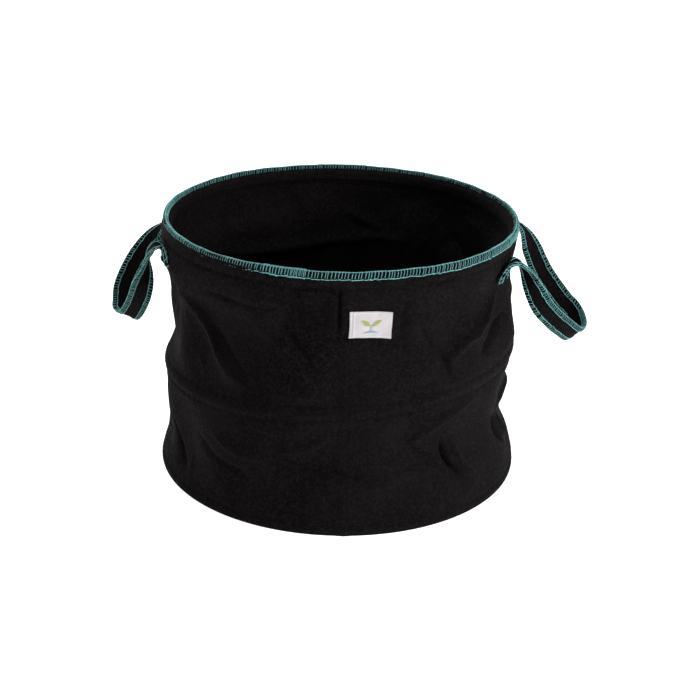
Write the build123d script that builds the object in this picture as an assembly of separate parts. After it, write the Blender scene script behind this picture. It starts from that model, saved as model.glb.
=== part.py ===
"""Collapsible fabric grow bag: a felt tube and base held open by three wire hoops, with two strap handles.

The origin is the centre of the underside of the base, on the ground. +Z is up, +X points at the right
handle and -Y at the front, where the wall's seam, the patch and the label are. All sizes are in mm.
"""
from build123d import *
from math import cos, degrees, pi, radians, sin
import os

# Felt tube and base
HEIGHT = 300.0  # ground to the felt's top edge
RIM_RADIUS = 200.0  # outer face of the felt at the top
BASE_RADIUS = 206.0  # outer face of the felt at the ground
FELT = 3.0  # thickness of the wall, base and straps
LINING = 2.0  # thickness of the hoop channels' strips
GAP = 0.3  # between pieces that lie on each other
THREAD = 0.6  # how far a row of thread stands out
ROW = 0.8  # width of a row of thread
BASE_GAP = 0.2  # between the base disc and the tube around it

# Hoops
WIRE = 3.0  # wire diameter
FERRULE = 5.0  # outer diameter of the sleeve that joins a hoop's ends
FERRULE_LENGTH = 26.0
FERRULE_PLAY = 0.05  # between the wire and its ferrule
WIRE_END_GAP = 1.0  # between a hoop's two ends, inside the ferrule
FERRULE_ANGLE = 100.0  # where the hoops are joined, towards the back
CHANNEL_PLAY = 0.2  # between a ferrule and its channel

# Hoop channels, as heights of the hoop and of the strip's edges
RIM_STRIP = 24.0  # depth of the rim's strip
RIM_ROW_DROP = 19.0  # from the top edge down to the rim's row of stitches
MID_HEIGHT = 140.0
MID_TILT = 4.0  # the middle hoop sits askew in the slack felt, right side up
MID_STRIP = 22.0
MID_ROWS = 16.0  # between the two rows of the middle channel
BASE_STRIP = 17.0
BASE_LIP = 9.0  # part of the base strip that lies on the base disc
BASE_ROW_HEIGHT = 13.0

# Top edge's overlock thread
OVERLOCK_DEPTH = 8.0
OVERLOCK = 0.8

# Seam, patch and label at the front. Drops are measured down from the felt's top edge
SEAM_ANGLE = -87.3  # round the tube
SEAM_LAP = 14.0
SEAM_ROWS = 8.5  # between the seam's two rows
PATCH_WIDTH = 36.0
PATCH_DEPTH = 41.0
PATCH_DROP = 22.0
PATCH_BESIDE_SEAM = 11.0  # from the seam's middle to the patch's near edge
PATCH_FELT = 2.0
LABEL_WIDTH = 47.0
LABEL_DEPTH = 31.0
LABEL_DROP = 43.0
LABEL_BESIDE_SEAM = 1.5
LABEL_CLOTH = 0.7
LABEL_CLEARANCE = 4.0  # from the label down to the seam's rows
EDGE_INSET = 2.5  # from a patch's or label's edge to its stitches

# Handles
STRAP = 22.0  # strap width
HANDLE_SPREAD = 120.0  # between the middles of one strap's two ends
HINGE_DROP = 32.0  # from the felt's top edge down to the line that the loop swings about
END_LENGTH = 14.0  # from that line down to the bottom of the sewn ends
ARCH_RADIUS = 6.5  # middle of the strap where it folds away from the wall
ARCH_TURN = 60.0  # how much of that fold belongs to the sewn end, in degrees
KNUCKLE = 2.5  # radius of the rolled edge on that line
HINGE_CLEARANCE = 0.6  # between the rolled edge and the sewn ends
FLAT_RUN = 40.0  # strap that lies flat before it turns on edge
LOOP_REACH = 120.0
EDGING = 1.2  # how far the overlock thread covers a strap's edge
RIGHT_DROOP = 54.0  # loops below level, at rest
LEFT_DROOP = 60.0
TACK_INSET = 2.0

HOOP_CHANNEL = FERRULE + 2 * CHANNEL_PLAY
RIM_HOOP_HEIGHT = HEIGHT - OVERLOCK_DEPTH - GAP - LINING - HOOP_CHANNEL / 2
PATCH_HIGH = HEIGHT - PATCH_DROP
PATCH_LOW = PATCH_HIGH - PATCH_DEPTH
LABEL_HIGH = HEIGHT - LABEL_DROP
LABEL_LOW = LABEL_HIGH - LABEL_DEPTH
PATCH_ANGLE = SEAM_ANGLE - degrees((PATCH_BESIDE_SEAM + PATCH_WIDTH / 2) / RIM_RADIUS)
LABEL_ANGLE = SEAM_ANGLE + degrees((LABEL_BESIDE_SEAM + LABEL_WIDTH / 2) / RIM_RADIUS)
SEAM_TOP = LABEL_LOW - LABEL_CLEARANCE
HINGE_HEIGHT = HEIGHT - HINGE_DROP
END_LOW = HINGE_HEIGHT - END_LENGTH


def wall_radius(z):
    """Outer radius of the felt tube at height z."""
    return BASE_RADIUS + (RIM_RADIUS - BASE_RADIUS) * z / HEIGHT


def ring(points, start=0.0, turn=360.0):
    """Solid made by turning a closed outline of (radius, height) points about Z."""
    outline = make_face(Plane.XZ * Polyline(*points, close=True))
    return Rot(0, 0, start) * revolve(outline, Axis.Z, turn)


def shell(low, high, inner, outer, start=0.0, turn=360.0):
    """Band that follows the tube, between two offsets from the tube's outer face."""
    return ring(
        [
            (wall_radius(low) + inner, low),
            (wall_radius(low) + outer, low),
            (wall_radius(high) + outer, high),
            (wall_radius(high) + inner, high),
        ],
        start,
        turn,
    )


def piece_on_wall(angle, width, low, high, inner, outer):
    """Part of such a band, width wide and centred on an angle round the tube."""
    turn = degrees(width / wall_radius((low + high) / 2))
    return shell(low, high, inner, outer, angle - turn / 2, turn)


def frame_on_wall(angle, width, low, high, inset, inner):
    """Closed row of stitches, inset from the edge of a rectangle on the wall."""
    outer = inner + THREAD
    whole = piece_on_wall(angle, width - 2 * inset, low + inset, high - inset, inner, outer)
    shrink = inset + ROW
    hole = piece_on_wall(angle, width - 2 * shrink, low + shrink, high - shrink, inner - 1, outer + 1)
    return whole - hole


def askew(shape):
    """Puts a shape made about the origin where the middle hoop is."""
    return Pos(0, 0, MID_HEIGHT) * Rot(0, -MID_TILT, 0) * shape


def strip_radius(z):
    """Outer radius of a strip that lies on the inside of the tube."""
    return wall_radius(z) - FELT - GAP


def mid_strip_radius():
    """Outer radius of the middle strip in its own askew plane, clear of the tube at every edge."""
    half = MID_STRIP / 2
    highest = MID_HEIGHT + half + RIM_RADIUS * sin(radians(MID_TILT))
    return (strip_radius(highest) - half * sin(radians(MID_TILT))) / cos(radians(MID_TILT))


def channel_strip(radius, low, middle, high):
    """Strip that lies on the wall above and below a square channel, which it covers."""
    half = HOOP_CHANNEL / 2
    depth = HOOP_CHANNEL
    return ring(
        [
            (radius(high), high),
            (radius(middle + half), middle + half),
            (radius(middle) - depth, middle + half),
            (radius(middle) - depth, middle - half),
            (radius(middle - half), middle - half),
            (radius(low), low),
            (radius(low) - LINING, low),
            (radius(middle - half - LINING) - LINING, middle - half - LINING),
            (radius(middle) - depth - LINING, middle - half - LINING),
            (radius(middle) - depth - LINING, middle + half + LINING),
            (radius(middle + half + LINING) - LINING, middle + half + LINING),
            (radius(high) - LINING, high),
        ]
    )


def corner_strip(low, high):
    """Strip that covers a channel in the corner between the wall and the base."""
    top = low + HOOP_CHANNEL
    side = strip_radius(low) - HOOP_CHANNEL
    return ring(
        [
            (strip_radius(high), high),
            (strip_radius(top), top),
            (side, top),
            (side, low),
            (side - LINING - BASE_LIP, low),
            (side - LINING - BASE_LIP, low + LINING),
            (side - LINING, low + LINING),
            (side - LINING, top + LINING),
            (strip_radius(top + LINING) - LINING, top + LINING),
            (strip_radius(high) - LINING, high),
        ]
    )


def round_ring(radius, outer, inner, start, turn):
    """Round bar or tube bent along an arc about Z."""
    section = Plane.XZ * Pos(radius, 0) * Circle(outer)
    if inner:
        section -= Plane.XZ * Pos(radius, 0) * Circle(inner)
    return Rot(0, 0, start) * revolve(section, Axis.Z, turn)


def hoop(radius):
    """Wire hoop, open by a small gap where its ends meet."""
    gap = degrees(WIRE_END_GAP / radius)
    return round_ring(radius, WIRE / 2, 0, FERRULE_ANGLE + gap / 2, 360 - gap)


def ferrule(radius):
    """Sleeve over a hoop's two ends."""
    turn = degrees(FERRULE_LENGTH / radius)
    return round_ring(radius, FERRULE / 2, WIRE / 2 + FERRULE_PLAY, FERRULE_ANGLE - turn / 2, turn)


def row_round(z):
    """Row of stitches right round the outside of the tube."""
    return shell(z - ROW / 2, z + ROW / 2, GAP, GAP + THREAD)


def disc(z, thickness):
    """Wide flat disc, used to cut the tube's outside level with a row."""
    return Pos(0, 0, z) * Cylinder(2 * BASE_RADIUS, thickness)


def make_wall():
    """Felt tube with its lapped front seam, which stops short of the three strips inside."""
    tube = shell(0, HEIGHT, -FELT, 0)
    base_top = BASE_STRIP + FELT + 2 * GAP
    spans = [
        (base_top, MID_HEIGHT - MID_STRIP / 2 - FELT),
        (MID_HEIGHT + MID_STRIP / 2 + FELT, HEIGHT - RIM_STRIP - FELT),
    ]
    for low, high in spans:
        tube += piece_on_wall(SEAM_ANGLE, SEAM_LAP, low, high, -2 * FELT, -FELT)
    return tube


def make_seam_thread():
    """Two upright rows, broken where the rows that go round the tube cross them."""
    low = BASE_ROW_HEIGHT + 2 * ROW
    spread = degrees(SEAM_ROWS / 2 / BASE_RADIUS)
    rows = Part()
    for side in (-1, 1):
        rows += piece_on_wall(SEAM_ANGLE + side * spread, ROW, low, SEAM_TOP, GAP, GAP + THREAD)
    for side in (-1, 1):
        rows -= askew(disc(side * MID_ROWS / 2, 4 * ROW))
    return rows


def make_mid_rows():
    """The middle channel's two rows, askew like its hoop."""
    reach = MID_STRIP + RIM_RADIUS * sin(radians(MID_TILT))
    outside = shell(MID_HEIGHT - reach, MID_HEIGHT + reach, GAP, GAP + THREAD)
    rows = Part()
    for side in (-1, 1):
        rows += outside & askew(disc(side * MID_ROWS / 2, ROW))
    return rows


def make_patch_thread():
    """Patch's stitches: its right edge is left open."""
    face = GAP + PATCH_FELT + GAP
    row = frame_on_wall(PATCH_ANGLE, PATCH_WIDTH, PATCH_LOW, PATCH_HIGH, EDGE_INSET, face)
    open_edge = piece_on_wall(
        PATCH_ANGLE + degrees(PATCH_WIDTH / 2 / RIM_RADIUS),
        2 * EDGE_INSET + 2 * ROW,
        PATCH_LOW - 1,
        PATCH_HIGH + 1,
        face - 1,
        face + THREAD + 1,
    )
    return row - open_edge


def make_overlock():
    """Thread that wraps the top edges of the wall and the rim strip together."""
    low = HEIGHT - OVERLOCK_DEPTH
    outer = wall_radius(HEIGHT) + GAP
    inner = strip_radius(HEIGHT) - LINING - GAP
    top = HEIGHT + GAP
    return ring(
        [
            (wall_radius(low) + GAP, low),
            (wall_radius(low) + GAP + OVERLOCK, low),
            (outer + OVERLOCK, top + OVERLOCK),
            (inner - OVERLOCK, top + OVERLOCK),
            (inner - OVERLOCK, low),
            (inner, low),
            (inner, top),
            (outer, top),
        ]
    )


def end_angle():
    """Angle round the tube from a handle's middle to each of its ends."""
    return degrees(HANDLE_SPREAD / 2 / wall_radius(END_LOW))


def fold_centre():
    """Radius and height of the centre of the fold at the top of a sewn end."""
    height = HINGE_HEIGHT - ARCH_RADIUS
    return (wall_radius(height) + GAP + FELT / 2 + ARCH_RADIUS, height)


def sewn_end(angle):
    """Strap's end: up the wall, and over the first part of its fold."""
    centre = fold_centre()
    inside = ARCH_RADIUS - FELT / 2
    outside = ARCH_RADIUS + FELT / 2
    start = radians(180 - ARCH_TURN)
    middle = radians(180 - ARCH_TURN / 2)
    foot = wall_radius(END_LOW) + GAP

    def on_fold(radius, turn):
        return (centre[0] + radius * cos(turn), centre[1] + radius * sin(turn))

    outer_side = on_fold(outside, pi)
    inner_side = on_fold(inside, pi)
    outline = [
        Line((foot, END_LOW), outer_side),
        ThreePointArc(outer_side, on_fold(outside, middle), on_fold(outside, start)),
        Line(on_fold(outside, start), on_fold(inside, start)),
        ThreePointArc(on_fold(inside, start), on_fold(inside, middle), inner_side),
        Polyline(inner_side, (foot + FELT, END_LOW), (foot, END_LOW)),
    ]
    section = make_face([Plane.XZ * edge for edge in outline])
    turn = degrees(STRAP / foot)
    return Rot(0, 0, angle - turn / 2) * revolve(section, Axis.Z, turn)


def hinge_reach():
    """Distance from the bag's axis to a hinge line, clear of the nearest corner of the sewn ends."""
    tip = fold_centre()[0] - (ARCH_RADIUS - FELT / 2) * cos(radians(ARCH_TURN))
    nearest = end_angle() - degrees(STRAP / 2 / wall_radius(END_LOW))
    return tip * cos(radians(nearest)) + KNUCKLE + HINGE_CLEARANCE


def end_tacks(angle):
    """Two short rows that sew a strap's end to the wall."""
    face = GAP + FELT + GAP
    bars = Part()
    for low in (END_LOW + TACK_INSET, HINGE_HEIGHT - ARCH_RADIUS - TACK_INSET):
        bars += piece_on_wall(angle, STRAP - 2 * TACK_INSET, low, low + ROW, face, face + THREAD)
    return bars


def end_edging(angle):
    """Overlock thread down both long edges of a strap's end."""
    high = HINGE_HEIGHT - ARCH_RADIUS
    shift = degrees((STRAP / 2 + GAP + EDGING / 2) / wall_radius(END_LOW))
    edges = Part()
    for side in (-1, 1):
        edges += piece_on_wall(angle + side * shift, EDGING, END_LOW, high, GAP, GAP + FELT)
    return edges


def loop_band(thick, low, high):
    """Half-oval band on edge in the loop's plane, where X leads out from the hinge line."""
    reach = LOOP_REACH
    half = HANDLE_SPREAD / 2
    oval = Ellipse(reach + thick / 2, half + thick / 2) - Ellipse(reach - thick / 2, half - thick / 2)
    band = Pos(0, 0, low) * extrude(oval, high - low)
    return band & Pos(reach + FLAT_RUN, 0, 0) * Box(2 * reach, 4 * half, 4 * STRAP)


def handle_loop():
    """Strap's loop: rolled ends on the hinge line, flat runs, then the band on edge."""
    loop = loop_band(FELT, -STRAP / 2, STRAP / 2)
    for side in (-1, 1):
        middle = side * HANDLE_SPREAD / 2
        loop += Pos(FLAT_RUN / 2 + ROW, middle, 0) * Box(FLAT_RUN + 2 * ROW, STRAP, FELT)
        loop += Pos(0, middle, 0) * Rot(90, 0, 0) * Cylinder(KNUCKLE, STRAP)
    return loop


def loop_edging():
    """Overlock thread along both edges of the band."""
    start = STRAP / 2 + GAP
    edges = Part()
    for low in (start, -start - EDGING):
        edges += loop_band(FELT, low, low + EDGING)
    return edges


def at_hinge(shape, droop, facing):
    """Hangs a loop from its hinge line, below level by droop, on the side of the bag that it faces."""
    return Rot(0, 0, facing) * Pos(hinge_reach(), 0, HINGE_HEIGHT) * Rot(0, droop, 0) * shape


def both_ends(make, facing):
    """The same thing at both ends of one strap."""
    group = Part()
    for side in (-1, 1):
        group += make(facing + side * end_angle())
    return group


nodes = {
    "wall_panel": make_wall(),
    "seam_thread": make_seam_thread(),
    "base_disc": ring(
        [
            (0, 0),
            (wall_radius(0) - FELT - BASE_GAP, 0),
            (wall_radius(FELT) - FELT - BASE_GAP, FELT),
            (0, FELT),
        ]
    ),
    "base_casing": corner_strip(FELT + GAP, FELT + GAP + BASE_STRIP),
    "base_stitches": row_round(BASE_ROW_HEIGHT),
    "mid_casing": askew(channel_strip(lambda z: mid_strip_radius(), -MID_STRIP / 2, 0, MID_STRIP / 2)),
    "mid_stitches": make_mid_rows(),
    "rim_facing": channel_strip(strip_radius, HEIGHT - RIM_STRIP, RIM_HOOP_HEIGHT, HEIGHT),
    "rim_stitches": row_round(HEIGHT - RIM_ROW_DROP),
    "rim_overlock": make_overlock(),
    "seam_patch": piece_on_wall(PATCH_ANGLE, PATCH_WIDTH, PATCH_LOW, PATCH_HIGH, GAP, GAP + PATCH_FELT),
    "patch_thread": make_patch_thread(),
    "label": piece_on_wall(LABEL_ANGLE, LABEL_WIDTH, LABEL_LOW, LABEL_HIGH, GAP, GAP + LABEL_CLOTH),
    "label_thread": frame_on_wall(
        LABEL_ANGLE, LABEL_WIDTH, LABEL_LOW, LABEL_HIGH, EDGE_INSET / 2, 2 * GAP + LABEL_CLOTH
    ),
}

base_hoop_height = FELT + GAP + HOOP_CHANNEL / 2
base_hoop_radius = strip_radius(FELT + GAP) - HOOP_CHANNEL / 2
rim_hoop_radius = strip_radius(RIM_HOOP_HEIGHT) - HOOP_CHANNEL / 2
mid_hoop_radius = mid_strip_radius() - HOOP_CHANNEL / 2
for name, make in (("hoop", hoop), ("ferrule", ferrule)):
    nodes[f"base_{name}"] = Pos(0, 0, base_hoop_height) * make(base_hoop_radius)
    nodes[f"mid_{name}"] = askew(make(mid_hoop_radius))
    nodes[f"rim_{name}"] = Pos(0, 0, RIM_HOOP_HEIGHT) * make(rim_hoop_radius)

for hand, facing, droop in (("right", 0, RIGHT_DROOP), ("left", 180, LEFT_DROOP)):
    nodes[f"{hand}_handle_ends"] = both_ends(sewn_end, facing)
    nodes[f"{hand}_end_edging"] = both_ends(end_edging, facing)
    nodes[f"{hand}_end_tacks"] = both_ends(end_tacks, facing)
    nodes[f"{hand}_handle_loop"] = at_hinge(handle_loop(), droop, facing)
    nodes[f"{hand}_handle_edging"] = at_hinge(loop_edging(), droop, facing)

os.makedirs("parts", exist_ok=True)
for name, shape in nodes.items():
    export_step(shape, f"parts/{name}.step")
print(len(nodes), "nodes")
print("hinge line at x", round(hinge_reach(), 2), "z", HINGE_HEIGHT)
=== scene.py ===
"""Felt grow bag with wire hoops, overlocked rim, two strap handles and a sewn label, in metres."""

import math
import random

import bpy
import numpy as np
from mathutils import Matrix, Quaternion, Vector


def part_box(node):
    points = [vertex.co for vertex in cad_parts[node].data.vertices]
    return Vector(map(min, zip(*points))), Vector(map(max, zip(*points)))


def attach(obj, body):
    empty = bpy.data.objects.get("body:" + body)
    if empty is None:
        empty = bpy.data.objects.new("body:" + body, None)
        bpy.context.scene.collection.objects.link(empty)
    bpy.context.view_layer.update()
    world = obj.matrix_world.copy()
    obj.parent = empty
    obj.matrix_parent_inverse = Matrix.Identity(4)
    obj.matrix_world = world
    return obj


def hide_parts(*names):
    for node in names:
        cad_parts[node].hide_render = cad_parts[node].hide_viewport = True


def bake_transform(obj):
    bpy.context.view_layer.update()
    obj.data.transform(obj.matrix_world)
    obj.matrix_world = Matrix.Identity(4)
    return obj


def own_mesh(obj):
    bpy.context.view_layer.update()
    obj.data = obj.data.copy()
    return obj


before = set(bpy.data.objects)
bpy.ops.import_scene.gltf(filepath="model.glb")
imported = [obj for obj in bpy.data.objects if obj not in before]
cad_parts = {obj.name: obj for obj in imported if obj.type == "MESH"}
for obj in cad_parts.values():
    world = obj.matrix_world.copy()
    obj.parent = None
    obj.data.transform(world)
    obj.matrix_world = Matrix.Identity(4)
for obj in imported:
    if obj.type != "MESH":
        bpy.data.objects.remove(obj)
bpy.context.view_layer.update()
MM = 0.001

# Sizes of the bag, from the CAD model. Here the strap is 1.4 mm wider, the rim's overlock 1.2 mm shallower
# and the base row 2 mm lower. TOP, the strap's overlock, the stitch and the thread have no size in CAD
HEIGHT = 300.0 * MM
RIM_RADIUS = 200.0 * MM
BASE_RADIUS = 206.0 * MM
FELT = 3.0 * MM
LINING = 2.0 * MM
GAP = 0.3 * MM
WALL_MEAN = 203  # radius of the wall halfway up, in mm
HOOP_WIRE = 3.0 * MM
RIM_ROW = 281.0 * MM
BASE_ROW = 11.0 * MM
MID_HEIGHT = 140.0 * MM
MID_SLOPE = math.tan(math.radians(4.0))
MID_REACH = 197.5 * MM  # radius at which the middle hoop's tilt is counted
MID_ROWS = 16.0 * MM
MID_STRIP = 22.0 * MM
RIM_STRIP = 24.0 * MM
PATCH_FELT = 2.0 * MM
LABEL_CLOTH = 0.7 * MM
OVERLOCK_DEPTH = 6.8 * MM
TOP = HEIGHT - 1.2 * MM  # the wall's edge under the overlock
SEAM_ANGLE = -87.3
SEAM_ROWS = 8.5 * MM
SEAM_LAP = 14.0 * MM
SEAM_TOP = 222.0 * MM
STRAP = 23.4 * MM
STRAP_OVERLOCK = 4.6 * MM
HINGE_X = 203.56 * MM
STITCH = 3.1 * MM
THREAD = 0.42 * MM  # radius of the sewing thread

# How far the felt stands off its plain cone: (height, offset), in mm, at the two sides of the bag
RIGHT_PROFILE = (
    (0, 4.5), (12, 5.0), (22, 3.0), (48, -6.0), (70, -12.0), (88, -14.0), (106, -11.0), (124, -7.0),
    (140, -2.5), (152, 0.0), (164, 0.5), (180, -2.5), (200, -7.0), (235, -8.0), (254, -6.5), (268, -2.5),
    (281, -1.0), (300, 0.0),
)
LEFT_PROFILE = (
    (0, 1.5), (12, 1.0), (30, -6.0), (48, -8.5), (72, -5.5), (92, -4.0), (112, -2.6), (130, -2.2),
    (148, -10.0), (176, -11.0), (222, -12.0), (234, -8.0), (244, -1.5), (258, 2.0), (275, 3.0), (288, 2.0),
    (300, 0.0),
)
# Folds in the felt: angle in degrees and height in mm at both ends, how far the crest stands out, and the
# widths of its two flanks
FOLDS = (
    (-150, 227, -119, 161, 3.2, 7, 16),
    (-136, 213, -119, 168, -2.0, 5, 8),
    (-116, 229, -91, 157, 2.6, 6, 15),
    (-110, 236, -97, 196, -1.6, 5, 7),
    (-30, 243, -52, 180, 3.4, 12, 7),
    (-22, 214, -38, 178, -2.6, 6, 9),
    (-66, 236, -57, 203, -1.7, 5, 8),
    (-57, 205, -51, 163, -2.0, 5, 9),
    (-40, 130, -66, 107, 3.0, 6, 15),
    (-66, 108, -54, 62, 2.2, 13, 6),
    (-54, 88, -45, 38, -3.8, 4, 6),
    (-49, 84, -40, 40, 2.2, 6, 7),
    (-25, 86, -16, 45, -4.0, 4, 6),
    (-20, 84, -11, 46, 2.2, 6, 6),
    (-162, 66, -147, 26, -2.4, 5, 8),
    (-140, 76, -119, 56, -2.0, 5, 10),
    (-132, 92, -112, 74, 1.7, 8, 8),
    (-106, 88, -91, 112, 1.9, 10, 6),
    (-70, 276, -69, 210, -1.2, 6, 6),
    (-96, 222, -70, 219, -1.2, 5, 5),
    (-68, 232, -31, 201, 1.5, 10, 5),
    (-137, 247, -108, 260, -1.1, 5, 6),
    (-106, 74, -60, 72, -1.4, 5, 6),
    (-100, 66, -74, 52, 1.4, 6, 10),
    (-168, 190, -150, 236, 1.2, 9, 6),
    (-14, 236, 2, 190, 1.0, 6, 10),
    (-4, 112, -20, 96, 2.4, 7, 8),
    (152, 221, 66, 193, -5.0, 9, 14),
    (150, 205, 96, 176, 3.0, 12, 8),
    (88, 246, 74, 214, -2.2, 6, 9),
    (118, 108, 60, 86, -3.0, 9, 12),
    (46, 232, 20, 182, 3.0, 8, 13),
    (172, 214, 150, 168, 1.6, 7, 12),
    (30, 104, 52, 56, -3.0, 6, 10),
    (166, 96, 140, 50, 2.4, 7, 10),
    (104, 66, 78, 40, 2.0, 8, 10),
)
chance = random.Random(11)


def spread_folds(count, low_angle, high_angle, length, height):
    """Small folds in the slack felt, spread over part of the wall."""
    folds = []
    for _ in range(count):
        angle = chance.uniform(low_angle, high_angle)
        z = chance.choice((chance.uniform(34, 112), chance.uniform(170, 262)))
        lean = math.radians(chance.choice((chance.uniform(20, 70), chance.uniform(110, 165))))
        long = chance.uniform(0.6, 1.4) * length
        turn = math.degrees(long * math.cos(lean) / WALL_MEAN)
        rise = long * math.sin(lean)
        width = chance.uniform(3.5, 7.0)
        folds.append((angle, z, angle + turn, z - rise, chance.choice((-1, 1)) * height, width, 1.6 * width))
    return tuple(folds)


SMALL_FOLDS = spread_folds(26, -180, 0, 26, 0.7) + spread_folds(34, 0, 180, 34, 1.1)
# Long shallow waves: turns round the bag, waves up its height, phase and size in mm
WAVES = tuple(
    (chance.randint(3, 17), chance.uniform(-60, 60), chance.uniform(0, 6.28), chance.uniform(0.18, 0.6))
    for _ in range(18)
)


def smooth_step(x):
    x = np.clip(x, 0.0, 1.0)
    return x * x * (3 - 2 * x)


def hill(x, width):
    return np.exp(-((x / width) ** 2))


def rounded_profile(points):
    """Offsets at every millimetre of height, with the corners between the given points rounded off."""
    heights, offsets = zip(*points)
    every = np.interp(np.arange(-40, 341), heights, offsets)
    window = np.hanning(23)
    return np.convolve(every, window / window.sum(), "same")[40:341]


RIGHT_CURVE = rounded_profile(RIGHT_PROFILE)
LEFT_CURVE = rounded_profile(LEFT_PROFILE)
MILLIMETRES = np.arange(301) * MM


def cone(z):
    return BASE_RADIUS + (RIM_RADIUS - BASE_RADIUS) * z / HEIGHT


def mid_height(angle):
    """Height of the middle hoop, which sits askew."""
    return MID_HEIGHT + MID_SLOPE * MID_REACH * np.cos(np.radians(angle))


def mid_row(angle, side):
    """Height of one of the middle channel's rows, which wanders a little."""
    wander = 0.8 * np.sin(np.radians(3 * angle + 40 * side)) + 0.5 * np.sin(np.radians(7 * angle))
    return mid_height(angle) + side * MID_ROWS / 2 + wander * MM


def one_fold(angle, z, fold):
    start, start_z, end, end_z, height, above, below = fold
    middle = (start + end) / 2
    run = math.radians(end - start) * WALL_MEAN
    rise = end_z - start_z
    length = math.hypot(run, rise)
    across = np.radians((angle - middle + 180) % 360 - 180) * WALL_MEAN + run / 2
    up = z / MM - start_z
    along = (across * run + up * rise) / length**2
    inside = np.clip(along, 0, 1)
    beyond = (along - inside) * length
    off = (across * rise - up * run) / length + 0.05 * length * np.sin(4.2 * along + 0.03 * start_z)
    flank = np.where(off > 0, below, above)
    distance = np.hypot(off / flank, beyond / (0.5 * (above + below)))
    ends = 1 - 0.75 * np.abs(2 * inside - 1) ** 3
    return height * ends * np.exp(1 - np.sqrt(1 + 6 * distance**2))


def relief(angle, z):
    """How far the felt's outer face stands off the cone, in metres."""
    turn = np.radians(angle)
    right = 0.5 + 0.5 * np.cos(turn)
    right_side = right * np.interp(z, MILLIMETRES, RIGHT_CURVE)
    profile = right_side + (1 - right) * np.interp(z, MILLIMETRES, LEFT_CURVE)
    up = z / MM
    middle = mid_height(angle) / MM
    slack = smooth_step((up - 14) / 22) * smooth_step((279 - up) / 22)
    slack = slack * smooth_step((np.abs(up - middle) - 7) / 16)
    waves = sum(
        size * np.sin(count * turn + up / 60 * tilt / 20 + phase) for count, tilt, phase, size in WAVES
    )
    folds = 1.35 * sum(one_fold(angle, z, fold) for fold in FOLDS)
    small = sum(one_fold(angle, z, fold) for fold in SMALL_FOLDS)
    loose = slack * (waves + small) + (0.15 + 0.85 * slack) * folds
    rows = (
        (np.full_like(up, RIM_ROW / MM), 140, 0.0),
        (np.full_like(up, BASE_ROW / MM), 120, 1.0),
        (mid_row(angle, 1) / MM, 104, 2.0),
        (mid_row(angle, -1) / MM, 104, 3.2),
    )
    drawn = 0
    for row, puckers, phase in rows:
        uneven = 0.6 + 0.4 * np.sin(11 * turn + phase)
        drawn = drawn - 1.0 * hill(up - row, 1.7)
        ripple = np.sin(puckers * turn + phase + 1.4 * np.sin(9 * turn + phase))
        drawn = drawn + 0.34 * uneven * ripple * hill(up - row, 7)
    channel = 1.3 * hill(up - middle, 4.5) + 0.7 * hill(up - 287, 3.5) + 0.6 * hill(up - 5, 3.5)
    lap = np.radians((angle - SEAM_ANGLE + 180) % 360 - 180) * WALL_MEAN
    seam = 1.1 * smooth_step((SEAM_LAP / MM / 2 + 0.7 - np.abs(lap)) / 1.6)
    for side in (-1, 1):
        seam = seam - 0.8 * hill(lap - side * SEAM_ROWS / MM / 2, 1.3)
        ripple = np.sin(up / 5.2 + side + 0.8 * np.sin(up / 23))
        seam = seam + 0.28 * ripple * hill(lap - side * SEAM_ROWS / MM / 2, 6)
    seam = seam * smooth_step((289 - up) / 6)
    seam = seam - 3.2 * hill(lap + 9.4, 2.2) * smooth_step((up - 228) / 14) * smooth_step((283 - up) / 8)
    hold = smooth_step((300 - up) / 12)
    return (profile + 1.9 * loose + channel + seam * 0.9 + drawn * hold) * MM


def wall(angle, z):
    """Radius of the felt's outer face."""
    return cone(z) + relief(angle, z)


def around(radius, angle, z):
    turn = np.radians(angle)
    return np.stack(np.broadcast_arrays(radius * np.cos(turn), radius * np.sin(turn), z), -1)


def on_wall(angle, z, out=0.0):
    return around(wall(angle, z) + out, angle, z)


# Meshes
def make_piece(name, points, faces, material):
    """A smooth-shaded mesh from an array of points and an array of quads."""
    mesh = bpy.data.meshes.new(name)
    points = np.asarray(points, np.float32).reshape(-1, 3)
    mesh.vertices.add(len(points))
    mesh.vertices.foreach_set("co", points.ravel())
    mesh.loops.add(faces.size)
    mesh.loops.foreach_set("vertex_index", faces.ravel().astype(np.int32))
    mesh.polygons.add(len(faces))
    mesh.polygons.foreach_set("loop_start", np.arange(0, faces.size, 4, dtype=np.int32))
    mesh.polygons.foreach_set("use_smooth", np.ones(len(faces), bool))
    mesh.update(calc_edges=True)
    mesh.validate()
    mesh.materials.append(material)
    piece = bpy.data.objects.new(name, mesh)
    bpy.context.scene.collection.objects.link(piece)
    return piece


def grid_faces(rows, columns, close_rows=False, close_columns=False):
    """Quads between neighbouring points of a grid, which may close on itself either way."""
    index = np.arange(rows * columns).reshape(rows, columns)
    if close_rows:
        index = np.vstack([index, index[:1]])
    if close_columns:
        index = np.hstack([index, index[:, :1]])
    corners = (index[:-1, :-1], index[:-1, 1:], index[1:, 1:], index[1:, :-1])
    return np.stack(corners, -1).reshape(-1, 4)


THREAD_SIDES = 6
THREAD_TIP = 0.25  # size of a thread's ends as a share of its radius


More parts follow.
